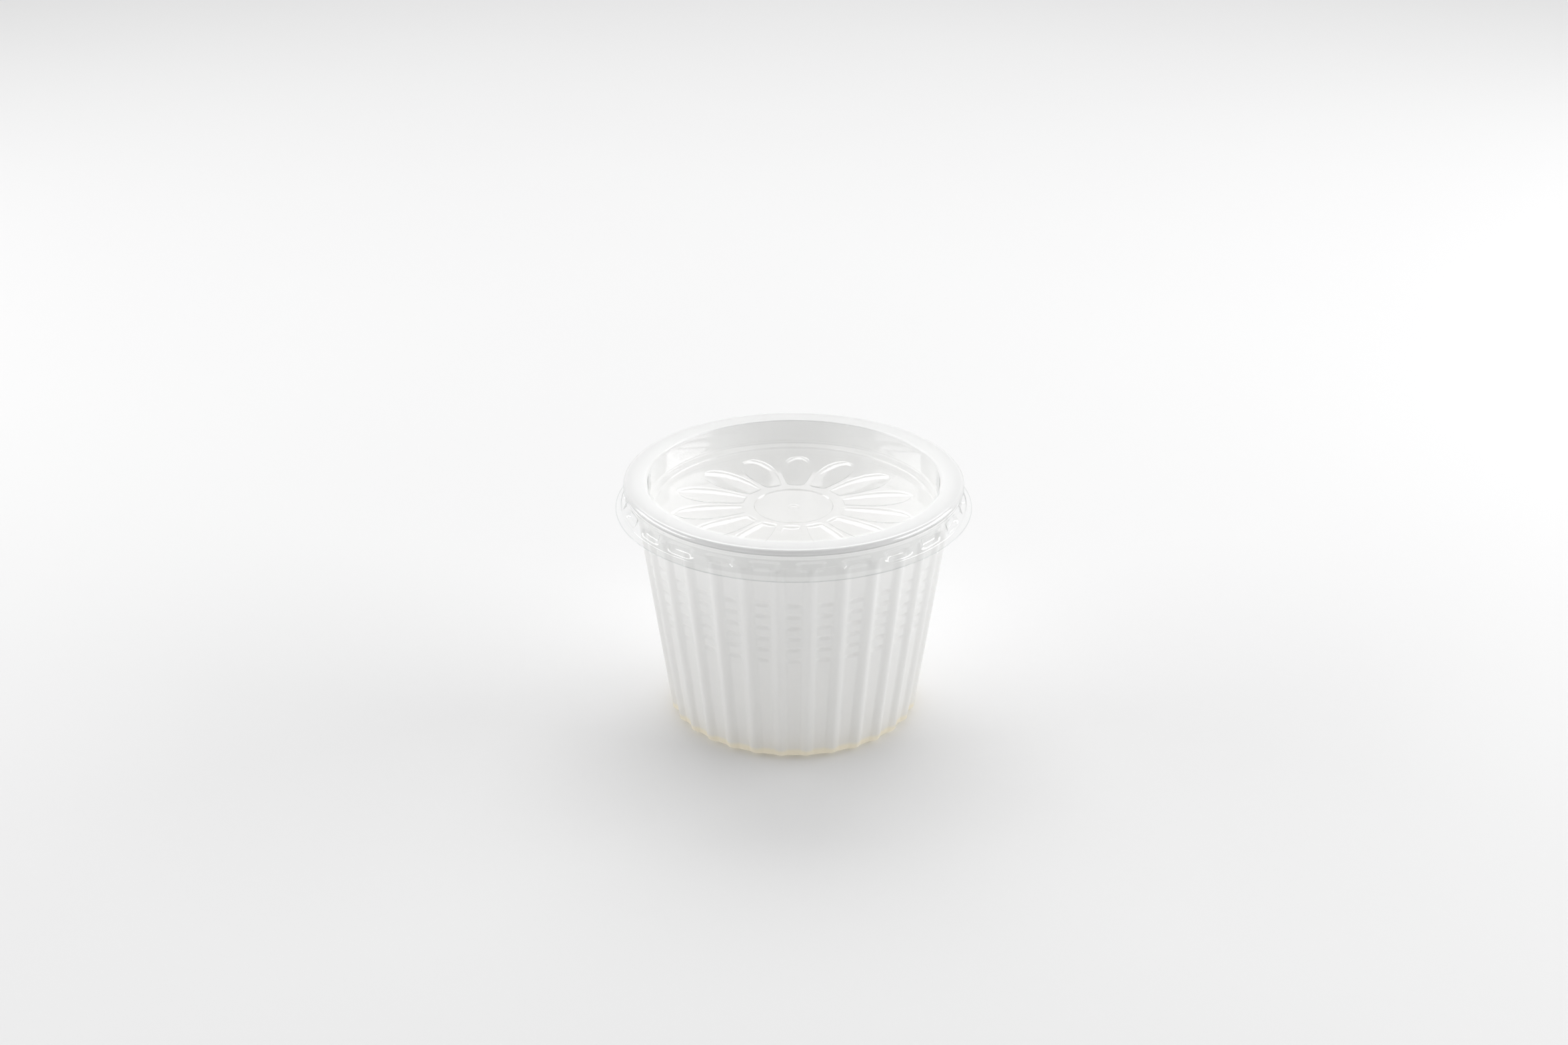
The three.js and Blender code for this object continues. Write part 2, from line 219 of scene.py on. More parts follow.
class Nodes:
    """Builds a material's or a world's node tree."""

    def __init__(self, owner: bpy.types.ID) -> None:
        """Empties the owner's node tree.

        Args:
            owner: the material or the world.
        """
        owner.use_nodes = True
        self.tree = owner.node_tree
        self.tree.nodes.clear()

    def feed(self, socket: Socket, value: Fed) -> None:
        """Links an output socket to an input socket, or gives the input a constant value.

        Args:
            socket: the input.
            value: the output socket or the constant.
        """
        if isinstance(value, Socket):
            self.tree.links.new(value, socket)
        else:
            socket.default_value = value

    def add(self, kind: str, inputs: Inputs | None = None, **settings: object) -> bpy.types.Node:
        """Adds a node.

        Args:
            kind: the node's type name.
            inputs: for each input, by name or number, the value or the output socket that feeds it.
            **settings: properties of the node itself.

        Returns:
            The new node.
        """
        node = self.tree.nodes.new(kind)
        for key, value in settings.items():
            setattr(node, key, value)
        for key, value in (inputs or {}).items():
            self.feed(node.inputs[key], value)
        return node

    def maths(self, operation: str, *values: Fed) -> Socket:
        """Works out a number from up to three numbers."""
        return self.add("ShaderNodeMath", dict(enumerate(values)), operation=operation).outputs[0]

    def vector_maths(self, operation: str, *values: Fed) -> Socket:
        """Works out a vector, or the number that a length or a dot product gives."""
        node = self.add("ShaderNodeVectorMath", dict(enumerate(values)), operation=operation)
        return node.outputs["Value" if operation in ("LENGTH", "DOT_PRODUCT") else "Vector"]

    def ramp(self, fed_by: Socket, span: Pair, start: float = 0.0, end: float = 1.0) -> Socket:
        """Maps a value between two levels, level at both ends.

        Args:
            fed_by: the value's socket.
            span: the value that becomes start, and the higher value that becomes end.
            start: the result at and before the span.
            end: the result at and past the span.

        Returns:
            The socket of the result.
        """
        inputs = {"Value": fed_by, "From Min": span[0], "From Max": span[1], "To Min": start, "To Max": end}
        return self.add("ShaderNodeMapRange", inputs, interpolation_type="SMOOTHSTEP").outputs["Result"]

    def object_place(self) -> Socket:
        """Gives the place on the surface in the object's own coordinates, in metres."""
        return self.add("ShaderNodeTexCoord").outputs["Object"]

    def height(self, place: Socket) -> Socket:
        """Gives the height of a place."""
        return self.add("ShaderNodeSeparateXYZ", {"Vector": place}).outputs["Z"]

    def from_axis(self, place: Socket) -> Socket:
        """Gives the distance of a place from the upright axis: its length with the height taken out."""
        return self.vector_maths("LENGTH", self.vector_maths("MULTIPLY", place, (1.0, 1.0, 0.0)))

    def noise(self, place: Socket, scale: float, detail: float, roughness: float = 0.5) -> Socket:
        """Gives the value of a cloudy pattern at a place."""
        inputs = {"Vector": place, "Scale": scale, "Detail": detail, "Roughness": roughness}
        return self.add("ShaderNodeTexNoise", inputs).outputs["Fac"]

    def mixed_colour(self, share: Socket, first: Fed, second: Fed) -> Socket:
        """Mixes two colours: the first where the share is 0, the second where it is 1.

        Args:
            share: the share's socket.
            first: the first colour's value or socket.
            second: the second colour's value or socket.

        Returns:
            The socket of the mixed colour.
        """
        node = self.add("ShaderNodeMix", {"Factor": share}, data_type="RGBA")
        first_colour, second_colour = node.inputs[6], node.inputs[7]
        self.feed(first_colour, first)
        self.feed(second_colour, second)
        return node.outputs[2]

    def mixed_shader(self, share: Socket, first: bpy.types.Node, second: bpy.types.Node) -> None:
        """Mixes two shaders by a share and makes the result the material's surface."""
        both = self.add("ShaderNodeMixShader", {0: share, 1: first.outputs[0], 2: second.outputs[0]})
        self.add("ShaderNodeOutputMaterial", {"Surface": both.outputs[0]})


@dataclass(frozen=True)
class FoamFinish:
    """White foamed plastic: a satin skin with fine cells, with light and shade painted on it.

    Part of the light goes through the wall: the share named through, and more at the mouth and the foot.
    The outer skin is painted a little darker than the inside as shade, the rim is painted a little
    darker and the side below its bead much darker, and a band at the foot is painted warm, for the
    warm light bounced between the foam and the floor. Heights and distances from the axis are in
    metres. A pair of them, or of a pattern's values, holds where a change starts and where it is
    complete.
    """

    white: Colour = (0.997, 0.997, 0.996, 1.0)
    shade: Colour = (0.994, 0.994, 0.993, 1.0)
    speck: Colour = (0.998, 0.998, 0.997, 1.0)
    cloud_scale: float = 260.0
    cloud_detail: float = 4.0
    cloud_roughness: float = 0.6
    cloud_span: Pair = (0.35, 0.65)
    cell_scale: float = 1150.0
    cell_detail: float = 2.0
    cell_roughness: float = 0.7
    speck_span: Pair = (0.12, 0.30)
    speck_share: float = 0.8
    # painted shade: the outer skin's colour is multiplied by this, so that it is darker than the inside
    outer_shade: Colour = (0.925, 0.925, 0.922, 1.0)
    outer_span: Pair = (0.0413, 0.0423)
    # painted warm light at the foot, for light bounced between the foam and the floor
    painted_warm_light: Colour = (0.99, 0.95, 0.85, 1.0)
    warm_light_height: Pair = (0.0020, 0.0040)
    # painted shade: the rim is made a little darker than the rest of the cup
    rim: Colour = (0.945, 0.945, 0.945, 1.0)
    rim_shade_height: Pair = (0.0842, 0.0850)
    rim_radius: Pair = (0.0527, 0.0532)
    # painted shade on the side below the rim's bead
    under_bead_shade: Colour = (0.62, 0.62, 0.62, 1.0)
    under_shade_height: Pair = (0.0864, 0.0876)
    under_shade_radius: Pair = (0.0572, 0.0582)
    through: float = 0.54
    mouth_through: float = 0.6
    mouth_height: Pair = (0.074, 0.078)
    foot_glow: float = 0.16
    grain_span: Pair = (0.3, 0.7)
    roughness: Pair = (0.48, 0.62)
    bump_strength: float = 0.35
    bump_distance: float = 0.00006
    ior: float = 1.45

    def outer_painted_shade(self, nodes: Nodes, height: Socket, radius: Socket) -> Socket:
        """Paints shade on the outer skin, so that it is a little darker than the inside: the slope's rise
        is taken off the distance from the axis to tell the two apart.

        Args:
            nodes: the material's nodes.
            height: the height's socket.
            radius: the distance from the axis.

        Returns:
            The painted shade that the foam's own colour is multiplied by.
        """
        upright = nodes.maths("MULTIPLY_ADD", height, -WALL_SLOPE, radius)
        outside = nodes.ramp(upright, self.outer_span)
        return nodes.mixed_colour(outside, (1.0, 1.0, 1.0, 1.0), self.outer_shade)

    def rim_painted_shade(self, nodes: Nodes, height: Socket, radius: Socket, body: Socket) -> Socket:
        """Paints shade on the rim: a little on its top, and much darker on the side below its bead.

        Args:
            nodes: the material's nodes.
            height: the height's socket.
            radius: the distance from the axis.
            body: the colour of the rest of the cup.

        Returns:
            The colour with the rim's painted shade in it.
        """
        # painted shade on the rim's top: the mask named pressed marks where it goes
        high = nodes.ramp(height, self.rim_shade_height)
        pressed = nodes.maths("MULTIPLY", high, nodes.ramp(radius, self.rim_radius))
        with_rim_shade = nodes.mixed_colour(pressed, body, self.rim)
        # painted shade under the rim's bead
        low_side = nodes.ramp(height, self.under_shade_height, 1.0, 0.0)
        under = nodes.maths("MULTIPLY", low_side, nodes.ramp(radius, self.under_shade_radius))
        return nodes.mixed_colour(under, with_rim_shade, self.under_bead_shade)

    def material(self) -> bpy.types.Material:
        """Makes the foam's material.

        Returns:
            The material, patterned in the object's own coordinates.
        """
        material = bpy.data.materials.new("foam")
        nodes = Nodes(material)
        place = nodes.object_place()
        height = nodes.height(place)
        radius = nodes.from_axis(place)
        cloud = nodes.noise(place, self.cloud_scale, self.cloud_detail, self.cloud_roughness)
        grain = nodes.noise(place, self.cell_scale, self.cell_detail, self.cell_roughness)
        pattern = nodes.add("ShaderNodeTexVoronoi", {"Vector": place, "Scale": self.cell_scale})
        cells = pattern.outputs["Distance"]

        toned = nodes.mixed_colour(nodes.ramp(cloud, self.cloud_span), self.shade, self.white)
        specks = nodes.ramp(cells, self.speck_span, self.speck_share, 0.0)
        flecked = nodes.mixed_colour(specks, toned, self.speck)
        # painted shade: the outer skin is made darker than the inside
        skin = nodes.vector_maths("MULTIPLY", flecked, self.outer_painted_shade(nodes, height, radius))
        # painted warm light in a band at the foot; the same band also lets more light through the wall
        warm = nodes.ramp(height, self.warm_light_height, 1.0, 0.0)
        with_warm_light = nodes.mixed_colour(warm, skin, self.painted_warm_light)
        # painted shade on the rim and under its bead
        colour = self.rim_painted_shade(nodes, height, radius, with_warm_light)

        relief = nodes.maths("SUBTRACT", grain, cells)
        bump_inputs = {"Height": relief, "Strength": self.bump_strength, "Distance": self.bump_distance}
        bump = nodes.add("ShaderNodeBump", bump_inputs)
        skin_shader = nodes.add(
            "ShaderNodeBsdfPrincipled",
            {
                "Base Color": colour,
                "Roughness": nodes.ramp(grain, self.grain_span, *self.roughness),
                "Normal": bump.outputs["Normal"],
                "IOR": self.ior,
            },
        )
        glow = nodes.add("ShaderNodeBsdfTranslucent", {"Color": colour})
        by_height = nodes.ramp(height, self.mouth_height, self.through, self.mouth_through)
        nodes.mixed_shader(nodes.maths("MULTIPLY_ADD", warm, self.foot_glow, by_height), skin_shader, glow)
        return material


@dataclass(frozen=True)
class FilmFinish:
    """Clear thermoformed film: it lets light through and shines more the flatter it is looked at.

    Light is bent so little by a film this thin that it goes straight through. Only the outer face of
    each wall shines, with the strength of both its faces. The skirt takes a little of the light away.
    Where the film is seen edge-on, and at the cut edge of the lip, the light through it is darkened
    more: partly by the longer path through the film, and partly as painted shade for the light that
    the film bends and mirrors away there. Heights and distances from the axis are in metres.
    """

    clear: Colour = (0.996, 0.997, 0.996, 1.0)
    skirt: Colour = (0.965, 0.967, 0.966, 1.0)
    skirt_radius: Pair = (0.0565, 0.0570)
    skirt_height: Pair = (0.0847, 0.0851)
    # painted shade where the film is seen edge-on, beyond what the longer path through it takes away
    edge: Colour = (0.46, 0.47, 0.47, 1.0)
    edge_shade_span: Pair = (0.28, 0.75)
    # painted shade along the cut edge of the lip
    cut: Colour = (0.89, 0.90, 0.90, 1.0)
    cut_shade_radius: Pair = (0.0627, 0.0629)
    both_faces_ior: float = 2.0
    ripple_scale: float = 45.0
    ripple_detail: float = 2.0
    bump_strength: float = 0.25
    bump_distance: float = 0.0004
    haze_scale: float = 420.0
    haze_detail: float = 3.0
    haze_span: Pair = (0.35, 0.65)
    roughness: Pair = (0.05, 0.10)

    def tint(self, nodes: Nodes, place: Socket, share: Socket) -> Socket:
        """Works out the colour of the light that goes through one face.

        Args:
            nodes: the material's nodes.
            place: the place on the surface.
            share: the share of the light that the face mirrors.

        Returns:
            The colour, with painted shade where the film is looked at along its surface and at the cut, and
            a little darker on the skirt.
        """
        radius = nodes.from_axis(place)
        outside = nodes.ramp(radius, self.skirt_radius)
        below = nodes.ramp(nodes.height(place), self.skirt_height, 1.0, 0.0)
        plain = nodes.mixed_colour(nodes.maths("MULTIPLY", outside, below), self.clear, self.skirt)
        # painted shade where the film is seen edge-on, beyond what the longer path through it takes away
        with_edge_shade = nodes.mixed_colour(nodes.ramp(share, self.edge_shade_span), plain, self.edge)
        # painted shade along the cut edge of the lip
        return nodes.mixed_colour(nodes.ramp(radius, self.cut_shade_radius), with_edge_shade, self.cut)

    def material(self) -> bpy.types.Material:
        """Makes the film's material.

        Returns:
            The material, see-through by a mix of shaders.
        """
        material = bpy.data.materials.new("clear_film")
        nodes = Nodes(material)
        place = nodes.object_place()
        ripple = nodes.noise(place, self.ripple_scale, self.ripple_detail)
        haze = nodes.noise(place, self.haze_scale, self.haze_detail)
        bump_inputs = {"Height": ripple, "Strength": self.bump_strength, "Distance": self.bump_distance}
        normal = nodes.add("ShaderNodeBump", bump_inputs).outputs["Normal"]
        roughness = nodes.ramp(haze, self.haze_span, *self.roughness)
        gloss_inputs = {"Color": (1.0, 1.0, 1.0, 1.0), "Roughness": roughness, "Normal": normal}
        gloss = nodes.add("ShaderNodeBsdfGlossy", gloss_inputs)
        fresnel = nodes.add("ShaderNodeFresnel", {"IOR": self.both_faces_ior, "Normal": normal})
        back = nodes.add("ShaderNodeNewGeometry").outputs["Backfacing"]
        share = nodes.maths("MULTIPLY", fresnel.outputs[0], nodes.maths("SUBTRACT", 1.0, back))
        through = nodes.add("ShaderNodeBsdfTransparent", {"Color": self.tint(nodes, place, share)})
        nodes.mixed_shader(share, through, gloss)
        return material


@dataclass(frozen=True)
class FloorFinish:
    """A matte pale table top, faintly mottled."""

    middle: Colour = (0.80, 0.80, 0.80, 1.0)
    mottle: Colour = (0.794, 0.792, 0.794, 1.0)
    mottle_scale: float = 3.0
    mottle_detail: float = 3.0
    mottle_span: Pair = (0.3, 0.7)
    roughness: float = 0.9

    def material(self) -> bpy.types.Material:
        """Makes the floor's material.

        Returns:
            The material, patterned in the floor's own coordinates.
        """
        material = bpy.data.materials.new("pale_floor")
        nodes = Nodes(material)
        cloud = nodes.noise(nodes.object_place(), self.mottle_scale, self.mottle_detail)
        colour = nodes.mixed_colour(nodes.ramp(cloud, self.mottle_span), self.mottle, self.middle)
        shader = nodes.add("ShaderNodeBsdfPrincipled", {"Base Color": colour, "Roughness": self.roughness})
        nodes.add("ShaderNodeOutputMaterial", {"Surface": shader.outputs[0]})
        return material


@dataclass
class FoamCup:
    """The ribbed foam cup, open above, with a rolled-out rim.

    Sizes are in millimetres and degrees. The ribs and panels are spread from the middle of the front.
    """

    front: float = -90.0
    rib_count: int = 30
    rib_height: float = 1.4
    rib_half_width: float = 2.5
    rib_steps: int = 9
    panel_steps: int = 7
    base_radius: float = 43.1
    wall: float = 2.3
    centre_radius: float = 6.0
    foot_inner_radius: float = 36.0
    foot_inner_fillet: float = 0.5
    foot_ring_width: float = 2.0
    base_lift: float = 1.2
    base_thickness: float = 2.4
    inner_corner: float = 3.0
    foot_corner: float = 1.7
    rib_rise: float = 1.5
    rib_top: float = 78.0
    collar_foot: float = 79.8
    collar_radius: float = 55.3
    collar_drop: float = 0.5
    collar_setback: float = 0.2
    collar_fillets: Pair = (0.15, 0.2)
    collar_flare: float = 0.25
    mouth_radius: float = 52.4
    mouth_foot: float = 77.5
    mouth_fillet: float = 0.6
    rim_thickness: float = 2.4
    rim_flat: float = 0.04
    under_rim_fillet: float = 1.0
    groove_rows: int = 6
    groove_foot: float = 40.0
    groove_pitch: float = 4.6
    groove_steps: int = 14
    groove_height: float = 2.3
    groove_valley: float = 1.643
    groove_depth: float = 0.9
    groove_share: float = 0.85
    groove_end: float = 0.3
    slow_wobble: float = 0.05
    slow_waves: float = 37.0
    slow_climb: float = 0.9
    fast_wobble: float = 0.04
    fast_waves: float = 83.0

    def panel_radius(self, height: float | Array) -> float | Array:
        """Distance from the axis of the panels between the ribs at a height."""
        return self.base_radius + WALL_SLOPE * height

    def outline(self) -> Array:
        """Draws the profile from under the base, up the wall, over the rim and down to the inside floor.

        Returns:
            The distance from the axis and the height of each point, one row each.
        """
        rim_top = HEIGHT - FILM - GRIP_GAP
        rim_radius = BEAD_RADIUS - FILM - GRIP_GAP
        rim_foot = rim_top - self.rim_thickness
        tube = (self.rim_thickness - self.rim_flat) / 2
        floor = self.base_lift + self.base_thickness
        groove_top = self.groove_foot + self.groove_rows * self.groove_pitch
        base = [
            Corner(self.centre_radius, self.base_lift),
            Corner(self.foot_inner_radius - self.base_lift, self.base_lift, self.foot_inner_fillet, 3, 3),
            Corner(self.foot_inner_radius, 0.0, self.foot_inner_fillet, 3, 1),
            Corner(self.panel_radius(0.0), 0.0, self.foot_corner, 10, 3),
        ]
        wall = [
            Corner(self.panel_radius(self.groove_foot), self.groove_foot, run=12),
            Corner(self.panel_radius(groove_top), groove_top, run=self.groove_rows * self.groove_steps),
            Corner(self.panel_radius(self.rib_top), self.rib_top, run=8),
        ]
        below_collar = self.panel_radius(self.collar_foot) - self.collar_setback
        collar = [
            Corner(below_collar, self.collar_foot - self.collar_drop, self.collar_fillets[0], 2, 5),
            Corner(self.collar_radius, self.collar_foot, self.collar_fillets[1], 3, 2),
            Corner(self.collar_radius + self.collar_flare, rim_foot, self.under_rim_fillet, 6, 4),
        ]
        rim = [
            Corner(rim_radius, rim_foot, tube, 8, 2),
            Corner(rim_radius, rim_top, tube, 8, 1),
            Corner(self.mouth_radius, rim_top, self.mouth_fillet, 5, 4),
        ]
        inside = [
            Corner(self.mouth_radius, self.mouth_foot, self.mouth_fillet, 2, 4),
            Corner(self.panel_radius(floor) - self.wall, floor, self.inner_corner, 5, 8),
            Corner(self.centre_radius, floor, run=5),
        ]
        return profile([*base, *wall, *collar, *rim, *inside])

    def columns(self, radius: Array) -> Array:
        """Spreads the columns round the cup.

        A rib keeps its width in millimetres at every height, so the steps across it do too, and the steps
        across the panels take up the rest of the pitch.

        Args:
            radius: each row's distance from the axis.

        Returns:
            Directions in degrees, rows by columns.
        """
        pitch = 360.0 / self.rib_count
        half = np.degrees(self.rib_half_width / np.maximum(radius, self.base_radius))[:, None]
        on_rib = np.arange(self.rib_steps) / self.rib_steps
        on_panel = np.arange(self.panel_steps) / self.panel_steps
        offsets = np.concatenate([(2 * on_rib - 1) * half, half + (pitch - 2 * half) * on_panel], axis=1)
        ribs = np.arange(self.rib_count) * pitch + pitch / 2 + self.front
        return (ribs[None, :, None] + offsets[:, None, :]).reshape(len(radius), -1)

    def rib_relief(self, radius: Array, angle: Array, height: Array) -> Array:
        """How far the ribs stand out: half a cosine wave across each, growing up the foot as a sine.

        Args:
            radius: each row's distance from the axis.
            angle: direction of each point.
            height: each row's height.

        Returns:
            The distance from the panel at each point.
        """
        pitch = 360.0 / self.rib_count
        off = np.radians(from_nearest(angle, self.front + pitch / 2, pitch)) * radius
        across = np.clip(off / self.rib_half_width, -1.0, 1.0)
        growth = np.sin(np.clip(height / self.rib_rise, 0.0, 1.0) * math.pi / 2)
        return self.rib_height * growth * np.cos(across * math.pi / 2)

    def wobble(self, angle: Array, height: Array) -> Array:
        """How far the grooves wander up and down: a slow wave that turns with the height, and a fast one.

        Args:
            angle: direction of each point.
            height: each row's height.

        Returns:
            The sum of the two sine waves at each point.
        """
        around = np.radians(angle)
        slow = self.slow_wobble * np.sin(around * self.slow_waves + height * self.slow_climb)
        return slow + self.fast_wobble * np.sin(around * self.fast_waves)

    def groove_relief(self, radius: Array, angle: Array, height: Array) -> Array:
        """How deep the grooves lie.

        Up each groove the depth grows gently to its valley and comes back steeply above it. Along the
        groove it is even, and it closes towards both ends, short of the ribs.

        Args:
            radius: each row's distance from the axis.
            angle: direction of each point.
            height: each row's height.

        Returns:
            The depth below the panel at each point.
        """
        pitch = 360.0 / self.rib_count
        half_panel = math.radians(pitch / 2) * radius - self.rib_half_width
        from_middle = np.abs(np.radians(from_nearest(angle, self.front, pitch)) * radius)
        off = from_middle / (half_panel * self.groove_share)
        ends = smooth_step((1.0 - off) / self.groove_end)
        above = height + self.wobble(angle, height) - self.groove_foot
        row = np.floor(above / self.groove_pitch)
        local = above - row * self.groove_pitch
        inside = (row >= 0) & (row < self.groove_rows)
        falling = smooth_step(local / self.groove_valley)
        rising = smooth_step((self.groove_height - local) / (self.groove_height - self.groove_valley))
        return self.groove_depth * ends * np.minimum(falling, rising) * inside

    def build(self) -> bpy.types.Object:
        """Makes the cup's mesh.

        The profile is turned round the axis, and between the foot and the collar the ribs are added to the
        distance from the axis and the grooves taken off it. Between two ribs the panel is flat, so its
        distance grows with one over the cosine from its middle to its sides. Towards the collar the ribs
        are held back to its radius.

        Returns:
            The cup's object.
        """
        rows = self.outline()
        radius, height = rows[:, :1], rows[:, 1:]
        angle = self.columns(rows[:, 0])
        outermost = int(np.argmax(rows[:, 0]))
        number = np.arange(len(rows))[:, None]
        is_outside = (number < outermost) & (radius > self.foot_inner_radius + self.foot_ring_width)
        is_wall = is_outside & (height < self.collar_foot)
        pitch = 360.0 / self.rib_count
        half_panel = math.radians(pitch / 2) - self.rib_half_width / radius
        from_middle = np.minimum(np.abs(np.radians(from_nearest(angle, self.front, pitch))), half_panel)
        flat = radius * (np.cos(half_panel) / np.cos(from_middle) - 1.0)
        relief = self.rib_relief(radius, angle, height) - self.groove_relief(radius, angle, height)
        wall = radius + flat + relief
        below_collar = self.collar_foot - self.collar_drop
        near_collar = smooth_step((height - self.rib_top) / (below_collar - self.rib_top))
        held = np.minimum(wall, self.collar_radius) * near_collar + wall * (1.0 - near_collar)
        points = turned(np.where(is_wall, held, radius), angle, height)
        piece = skin_between_poles("foam_cup", points, self.base_lift, self.base_lift + self.base_thickness)
        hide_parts("cup")
        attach(piece, "root")
        return piece

    def dress(self, piece: bpy.types.Object) -> None:
        """Gives the cup its finish."""
        piece.data.materials.append(FoamFinish().material())


@dataclass
class ClearLid:
    """The clear lid: a sunken panel with a flower, a bead over the cup's rim, and a skirt with lugs.

    Sizes are in millimetres and degrees.
    """

    columns: int = 336
    centre_radius: float = 0.6
    edge_steps: int = 5
    recess_radius: float = 51.65
    recess_foot_radius: float = 51.3
    recess_foot: float = 80.6
    recess_foot_fillet: float = 0.35
    recess_top_fillet: float = 0.55
    ledge_radius: float = 50.5
    ledge_drop: float = 0.15
    ledge_fillet: float = 0.3
    panel_edge_radius: float = 49.9
    panel_edge_fillet: float = 0.6
    panel_margin: float = 1.0
    panel_level: float = 77.8
    under_bead_level: float = 86.35
    under_bead_fillet: float = 1.0
    undercut_radius: float = 59.35
    undercut_level: float = 85.1
    lip_fold_radius: float = 61.2
    lip_fold: float = 79.7
    skirt_fillet: float = 0.5
    lip_radius: float = 63.08
    lip_level: float = 78.6
    lug_count: int = 24
    lug_depth: float = 1.1
    lug_half_angle: float = 4.6
    lug_slope_angle: float = 1.2
    lug_turn: float = -84.5
    lug_top: float = 84.2
    lug_foot: float = 80.6
    lug_slope: float = 1.0
    lug_columns: Pair = (0.43, 0.72)
    petal_count: int = 14
    petal_depth: float = 1.0
    petal_crown: float = 0.3
    petal_wall_power: int = 8
    petal_half_width: float = 5.7
    petal_least_half: float = 0.01
    petal_least_spread: float = 0.15
    petal_level_share: float = 0.75
    petal_columns: Pair = (0.45, 0.75)
    petal_root_radius: float = 5.0
    petal_inner_radius: float = 17.6
    petal_tip_radius: float = 42.6
    petal_root_slope: float = 1.0
    petal_tip_margin: float = 0.6
    petal_swell: float = 1.54
    petal_point: float = 0.6
    flower_turn: float = 87.3
    disc_radius: float = 14.2
    disc_depth: float = 0.7
    disc_edge: float = 0.1
    disc_margin: float = 0.2
    dimple_radius: float = 2.2
    dimple_depth: float = 0.5
    dimple_slope: float = 1.0
    dimple_margin: float = 0.4

    def outline(self) -> Array:
        """Draws the profile of the lid's outer side from near the axis to the lip.

        Returns:
            The distance from the axis and the height of each point, one row each.
        """
        disc = [
            Corner(self.centre_radius, self.panel_level),
            Corner(self.dimple_radius + self.dimple_margin, self.panel_level, run=6),
            Corner(self.disc_radius - self.disc_depth, self.panel_level, run=4),
            Corner(self.disc_radius + self.disc_margin, self.panel_level, run=5),
        ]
        petals = [
            Corner(self.petal_inner_radius, self.panel_level, run=2),
            Corner(self.petal_inner_radius + self.petal_root_slope, self.panel_level, run=4),
            Corner(self.petal_tip_radius + self.petal_tip_margin, self.panel_level, run=38),
        ]
        recess = [
            Corner(self.panel_edge_radius, self.panel_level, self.panel_edge_fillet, 5, 5),
            Corner(self.ledge_radius, self.recess_foot - self.ledge_drop, self.ledge_fillet, 4, 3),
            Corner(self.recess_foot_radius, self.recess_foot, self.recess_foot_fillet, 4, 1),
            Corner(self.recess_radius, HEIGHT, self.recess_top_fillet, 6, 5),
        ]
        bead = [
            Corner(BEAD_RADIUS, HEIGHT, BEAD_TUBE, 10, 4),
            Corner(BEAD_RADIUS, self.under_bead_level, self.under_bead_fillet, 5, 1),
        ]
        skirt = [
            Corner(self.undercut_radius, self.undercut_level, self.skirt_fillet, 5, 1),
            Corner(self.lip_fold_radius, self.lip_fold, self.skirt_fillet, 4, 22),
            Corner(self.lip_radius, self.lip_level, run=4),
        ]
        return profile([*disc, *petals, *recess, *bead, *skirt])

    def petal_width(self, radius: Array) -> Array:
        """Half the width of a petal at a distance from the axis.

        With t as the share of the way from root to tip, the width follows t to the power of the swell
        times one minus t to the power of the point, so that the petal swells slowly and ends in a point.

        Args:
            radius: distances from the axis.

        Returns:
            The half widths, zero outside the petal.
        """
        t = (radius - self.petal_root_radius) / (self.petal_tip_radius - self.petal_root_radius)
        t = np.clip(t, 0.0, 1.0)
        widest = self.petal_swell / (self.petal_swell + self.petal_point)
        most = widest**self.petal_swell * (1 - widest) ** self.petal_point
        return self.petal_half_width * t**self.petal_swell * (1 - t) ** self.petal_point / most

    def spread(self, even: Array, centre: float, pitch: float, foot: Array, top: Array, at: Pair) -> Array:
        """Moves evenly spread columns so that they follow the edges of repeated features.

        Within half a pitch, the stretch up to the first share of the columns is laid from the middle to
        the foot of the edge, the stretch up to the second share over the edge, and the rest beyond it.

        Args:
            even: the even directions, one row.
            centre: direction of one feature's middle.
            pitch: angle between features.
            foot: for each row, the angle from the middle to the edge's foot.
            top: for each row, the angle from the middle to the edge's top.
            at: the two shares of half a pitch.

        Returns:
            The moved directions, rows by columns.
        """
        off = from_nearest(even, centre, pitch)
        share = np.abs(off) / (pitch / 2)
        inner = np.clip(share / at[0], 0.0, 1.0)
        edge = np.clip((share - at[0]) / (at[1] - at[0]), 0.0, 1.0)
        outer = np.clip((share - at[1]) / (1.0 - at[1]), 0.0, 1.0)
        moved = inner * foot + edge * (top - foot) + outer * (pitch / 2 - top)
        return even - off + np.sign(off) * moved

    def directions(self, radius: Array) -> Array:
        """Spreads the columns: along the petals' edges inside, along the lugs' edges outside.

        Args:
            radius: each row's distance from the axis.

        Returns:
            Directions in degrees, rows by columns.
        """
        even = (self.flower_turn + np.arange(self.columns) * 360.0 / self.columns)[None, :]
        width = np.maximum(self.petal_width(radius), self.petal_least_spread)
        half = np.degrees(width / np.maximum(radius, self.petal_inner_radius))
        level = half * self.petal_level_share
        petal_pitch = 360.0 / self.petal_count
        petals = self.spread(even, self.flower_turn, petal_pitch, level, half, self.petal_columns)
        lug_foot = np.full_like(radius, self.lug_half_angle - self.lug_slope_angle)
        lug_top = np.full_like(radius, self.lug_half_angle)
        lug_pitch = 360.0 / self.lug_count
        lugs = self.spread(even, self.lug_turn, lug_pitch, lug_foot, lug_top, self.lug_columns)
        beyond_petals = self.recess_radius - self.petal_tip_radius
        to_lugs = smooth_step((radius - self.petal_tip_radius) / beyond_petals)
        return petals * (1.0 - to_lugs) + lugs * to_lugs

